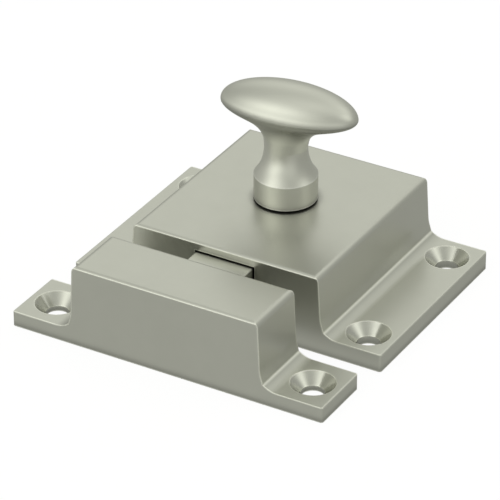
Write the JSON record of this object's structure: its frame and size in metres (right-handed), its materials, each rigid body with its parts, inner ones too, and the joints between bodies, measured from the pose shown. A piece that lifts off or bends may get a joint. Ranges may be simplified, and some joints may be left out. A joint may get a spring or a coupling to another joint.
{
  "type": "cabinet lock",
  "caption": "Surface mounted cupboard latch with a winged box case, an oval turn knob that draws back a sprung bevelled bolt, and a matching box strike.",
  "frame": {"origin": "centre of the case's four mounting holes, on the mounting plane under the case", "axes": "+X along the width of case and strike, -Y from the case towards the strike (the bolt's throw), +Z out of the door along the knob's spindle"},
  "size_m": [0.063, 0.0589, 0.0378],
  "materials": {
    "nickel_casting": "satin nickel plate on a casting",
    "nickel_knob": "satin nickel plate on a turned and cast knob",
    "nickel_bolt": "satin nickel plate, sliding faces polished",
    "cover_steel": "zinc plated sheet",
    "turned_steel": "turned, bright",
    "hardened_steel": "hardened, black oxide",
    "spring_steel": "drawn wire and sprung strip",
    "bush_brass": "turned",
    "black_nylon": "moulded"
  },
  "bodies": {
    "root": {"case": "nickel_casting", "strike": "nickel_casting", "back_plate": "cover_steel", "spindle_bush": "bush_brass", "bolt_spring_left": "spring_steel", "bolt_spring_right": "spring_steel", "cover_screw_1": "turned_steel", "cover_screw_2": "turned_steel", "cover_screw_3": "turned_steel", "cover_screw_4": "turned_steel"},
    "turn_knob": {"knob": "nickel_knob", "spindle": "turned_steel", "thrust_washer": "bush_brass", "cam": "hardened_steel", "drive_pin": "turned_steel", "spindle_clip": "spring_steel", "friction_washer": "black_nylon", "knob_set_screw": "hardened_steel"},
    "latch_bolt": {"bolt": "nickel_bolt", "spring_pin_left": "turned_steel", "spring_pin_right": "turned_steel"}
  },
  "joints": [
    {"name": "knob_turn", "type": "hinge", "parent": "root", "child": "turn_knob", "pos_m": [0, 0.0014, 0], "axis": [0, 0, -1], "range_deg": [0, 70]},
    {"name": "bolt_slide", "type": "slide", "parent": "root", "child": "latch_bolt", "axis": [0, 1, 0], "range_m": [0, 0.00573], "stiffness_N_per_m": 400, "springref_m": -0.004, "deforming": ["bolt_spring_left", "bolt_spring_right"]}
  ],
  "couplings": [
    {"joint": "knob_turn", "follows": "bolt_slide", "rad_per_m": 213}
  ]
}
